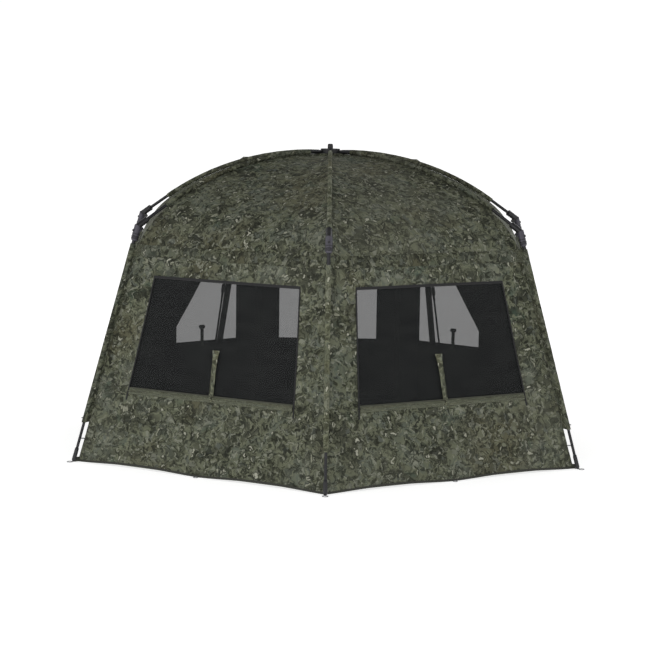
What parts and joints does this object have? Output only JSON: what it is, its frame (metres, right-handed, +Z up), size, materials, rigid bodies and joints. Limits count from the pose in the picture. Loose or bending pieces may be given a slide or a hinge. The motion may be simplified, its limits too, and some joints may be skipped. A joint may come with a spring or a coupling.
{
  "type": "pop-up camouflage field blind",
  "caption": "Camouflage field blind: umbrella-style frame with elbow-jointed telescoping legs, mesh rear windows and a door bay.",
  "frame": {"origin": "on the ground, under the middle of the shelter's bounding box", "axes": "+Z up, +Y towards the door, +X to the right seen from behind"},
  "size_m": [2.7188, 2.6855, 1.552],
  "materials": {
    "pole": "satin black",
    "black_plastic": "moulded",
    "camo_fabric": "printed woven",
    "mesh": "open mesh",
    "groundsheet": "coated",
    "steel": "zinc plated"
  },
  "bodies": {
    "hub": {"hub_block": "black_plastic", "hub_cap": "black_plastic", "hub_pivot_pins": "steel", "roof_rear_left": "camo_fabric", "roof_rear_right": "camo_fabric", "roof_side_left": "camo_fabric", "roof_side_right": "camo_fabric", "roof_front": "camo_fabric", "wall_rear_left": "camo_fabric", "wall_rear_right": "camo_fabric", "wall_side_left": "camo_fabric", "wall_side_right": "camo_fabric", "front_wing_left": "camo_fabric", "front_wing_right": "camo_fabric", "door_surround": "camo_fabric", "mesh_rear_left": "mesh", "mesh_rear_right": "mesh", "window_straps": "camo_fabric", "groundsheet": "groundsheet", "hem_peg_rings": "steel"},
    "rib_rear": {"roof_pole_rear": "pole", "elbow_socket_rear": "black_plastic"},
    "leg_rear": {"elbow_barrel_rear": "black_plastic", "leg_tube_rear": "pole"},
    "foot_rear": {"foot_pole_rear": "pole"},
    "button_rear": {"elbow_button_rear": "black_plastic"},
    "rib_left": {"roof_pole_left": "pole", "elbow_socket_left": "black_plastic"},
    "leg_left": {"elbow_barrel_left": "black_plastic", "leg_tube_left": "pole"},
    "foot_left": {"foot_pole_left": "pole"},
    "button_left": {"elbow_button_left": "black_plastic"},
    "rib_right": {"roof_pole_right": "pole", "elbow_socket_right": "black_plastic"},
    "leg_right": {"elbow_barrel_right": "black_plastic", "leg_tube_right": "pole"},
    "foot_right": {"foot_pole_right": "pole"},
    "button_right": {"elbow_button_right": "black_plastic"},
    "rib_front_left": {"roof_pole_front_left": "pole", "elbow_socket_front_left": "black_plastic"},
    "leg_front_left": {"elbow_barrel_front_left": "black_plastic", "leg_tube_front_left": "pole"},
    "foot_front_left": {"foot_pole_front_left": "pole"},
    "button_front_left": {"elbow_button_front_left": "black_plastic"},
    "rib_front_right": {"roof_pole_front_right": "pole", "elbow_socket_front_right": "black_plastic"},
    "leg_front_right": {"elbow_barrel_front_right": "black_plastic", "leg_tube_front_right": "pole"},
    "foot_front_right": {"foot_pole_front_right": "pole"},
    "button_front_right": {"elbow_button_front_right": "black_plastic"},
    "storm_pole_left": {"storm_upper_left": "pole"},
    "storm_tip_left": {"storm_lower_left": "pole"},
    "storm_collar_left": {"storm_lock_left": "black_plastic"},
    "storm_pole_right": {"storm_upper_right": "pole"},
    "storm_tip_right": {"storm_lower_right": "pole"},
    "storm_collar_right": {"storm_lock_right": "black_plastic"},
    "door": {"door_panel": "camo_fabric", "door_mesh": "mesh"}
  },
  "joints": [
    {"name": "fold_rear", "type": "hinge", "parent": "hub", "child": "rib_rear", "pos_m": [0, 0.0817, 1.51], "axis": [1, 0, 0], "range_deg": [0, 25], "deforming": ["roof_rear_left", "roof_rear_right", "roof_side_left", "roof_side_right", "roof_front", "wall_rear_left", "wall_rear_right", "wall_side_left", "wall_side_right", "front_wing_left", "front_wing_right", "door_surround", "mesh_rear_left", "mesh_rear_right", "window_straps", "groundsheet"]},
    {"name": "elbow_rear", "type": "hinge", "parent": "rib_rear", "child": "leg_rear", "pos_m": [0, -0.94694, 1.13632], "axis": [1, 0, 0], "range_deg": [0, 122.6]},
    {"name": "telescope_rear", "type": "slide", "parent": "leg_rear", "child": "foot_rear", "axis": [0, 0.2857, 0.9583], "range_m": [0, 0.5145]},
    {"name": "release_rear", "type": "slide", "parent": "leg_rear", "child": "button_rear", "axis": [0, 0.9583, -0.2857], "range_m": [0, 0.003], "stiffness_N_per_m": 600, "springref_m": -0.001},
    {"name": "fold_left", "type": "hinge", "parent": "hub", "child": "rib_left", "pos_m": [-0.03464, 0.1017, 1.51], "axis": [0.5, -0.866, 0], "range_deg": [0, 25]},
    {"name": "elbow_left", "type": "hinge", "parent": "rib_left", "child": "leg_left", "pos_m": [-0.92547, -0.41262, 1.13632], "axis": [0.5, -0.866, 0], "range_deg": [0, 122.6]},
    {"name": "telescope_left", "type": "slide", "parent": "leg_left", "child": "foot_left", "axis": [0.2474, 0.1428, 0.9583], "range_m": [0, 0.5145]},
    {"name": "release_left", "type": "slide", "parent": "leg_left", "child": "button_left", "axis": [0.8299, 0.4792, -0.2857], "range_m": [0, 0.003], "stiffness_N_per_m": 600, "springref_m": -0.001},
    {"name": "fold_right", "type": "hinge", "parent": "hub", "child": "rib_right", "pos_m": [0.03464, 0.1017, 1.51], "axis": [0.5, 0.866, 0], "range_deg": [0, 25]},
    {"name": "elbow_right", "type": "hinge", "parent": "rib_right", "child": "leg_right", "pos_m": [0.92547, -0.41262, 1.13632], "axis": [0.5, 0.866, 0], "range_deg": [0, 122.6]},
    {"name": "telescope_right", "type": "slide", "parent": "leg_right", "child": "foot_right", "axis": [-0.2474, 0.1428, 0.9583], "range_m": [0, 0.5145]},
    {"name": "release_right", "type": "slide", "parent": "leg_right", "child": "button_right", "axis": [-0.8299, 0.4792, -0.2857], "range_m": [0, 0.003], "stiffness_N_per_m": 600, "springref_m": -0.001},
    {"name": "fold_front_left", "type": "hinge", "parent": "hub", "child": "rib_front_left", "pos_m": [-0.03709, 0.13668, 1.51], "axis": [-0.3746, -0.9272, 0], "range_deg": [0, 25]},
    {"name": "elbow_front_left", "type": "hinge", "parent": "rib_front_left", "child": "leg_front_left", "pos_m": [-0.99083, 0.52202, 1.13632], "axis": [-0.3746, -0.9272, 0], "range_deg": [0, 122.6]},
    {"name": "telescope_front_left", "type": "slide", "parent": "leg_front_left", "child": "foot_front_left", "axis": [0.2649, -0.107, 0.9583], "range_m": [0, 0.5145]},
    {"name": "release_front_left", "type": "slide", "parent": "leg_front_left", "child": "button_front_left", "axis": [0.8885, -0.359, -0.2857], "range_m": [0, 0.003], "stiffness_N_per_m": 600, "springref_m": -0.001},
    {"name": "fold_front_right", "type": "hinge", "parent": "hub", "child": "rib_front_right", "pos_m": [0.03709, 0.13668, 1.51], "axis": [-0.3746, 0.9272, 0], "range_deg": [0, 25]},
    {"name": "elbow_front_right", "type": "hinge", "parent": "rib_front_right", "child": "leg_front_right", "pos_m": [0.99083, 0.52202, 1.13632], "axis": [-0.3746, 0.9272, 0], "range_deg": [0, 122.6]},
    {"name": "telescope_front_right", "type": "slide", "parent": "leg_front_right", "child": "foot_front_right", "axis": [-0.2649, -0.107, 0.9583], "range_m": [0, 0.5145]},
    {"name": "release_front_right", "type": "slide", "parent": "leg_front_right", "child": "button_front_right", "axis": [-0.8885, -0.359, -0.2857], "range_m": [0, 0.003], "stiffness_N_per_m": 600, "springref_m": -0.001},
    {"name": "storm_swing_left", "type": "hinge", "parent": "hub", "child": "storm_pole_left", "pos_m": [-0.50053, 1.08322, 1.424], "axis": [0.7826, 0.6225, 0], "range_deg": [0, 70]},
    {"name": "storm_length_left", "type": "slide", "parent": "storm_pole_left", "child": "storm_tip_left", "axis": [0.1379, -0.1734, 0.9751], "range_m": [0, 0.45]},
    {"name": "storm_twist_left", "type": "hinge", "parent": "storm_pole_left", "child": "storm_collar_left", "pos_m": [-0.50053, 1.08322, 1.424], "axis": [0.1379, -0.1734, 0.9751], "range_deg": [0, 90]},
    {"name": "storm_swing_right", "type": "hinge", "parent": "hub", "child": "storm_pole_right", "pos_m": [0.50053, 1.08322, 1.424], "axis": [0.7826, -0.6225, 0], "range_deg": [0, 70]},
    {"name": "storm_length_right", "type": "slide", "parent": "storm_pole_right", "child": "storm_tip_right", "axis": [-0.1379, -0.1734, 0.9751], "range_m": [0, 0.45]},
    {"name": "storm_twist_right", "type": "hinge", "parent": "storm_pole_right", "child": "storm_collar_right", "pos_m": [0.50053, 1.08322, 1.424], "axis": [-0.1379, -0.1734, 0.9751], "range_deg": [0, 90]},
    {"name": "door_swing", "type": "hinge", "parent": "hub", "child": "door", "pos_m": [-0.3985, 1.13733, 0], "axis": [0, -0.0498, 0.9988], "range_deg": [0, 100]}
  ],
  "couplings": [
    {"joint": "elbow_rear", "follows": "fold_rear", "ratio": 4.9},
    {"joint": "telescope_rear", "follows": "fold_rear", "m_per_rad": 1.178},
    {"joint": "fold_left", "follows": "fold_rear", "ratio": 1},
    {"joint": "elbow_left", "follows": "fold_rear", "ratio": 4.9},
    {"joint": "telescope_left", "follows": "fold_rear", "m_per_rad": 1.178},
    {"joint": "fold_right", "follows": "fold_rear", "ratio": 1},
    {"joint": "elbow_right", "follows": "fold_rear", "ratio": 4.9},
    {"joint": "telescope_right", "follows": "fold_rear", "m_per_rad": 1.178},
    {"joint": "fold_front_left", "follows": "fold_rear", "ratio": 1},
    {"joint": "elbow_front_left", "follows": "fold_rear", "ratio": 4.9},
    {"joint": "telescope_front_left", "follows": "fold_rear", "m_per_rad": 1.178},
    {"joint": "fold_front_right", "follows": "fold_rear", "ratio": 1},
    {"joint": "elbow_front_right", "follows": "fold_rear", "ratio": 4.9},
    {"joint": "telescope_front_right", "follows": "fold_rear", "m_per_rad": 1.178}
  ]
}
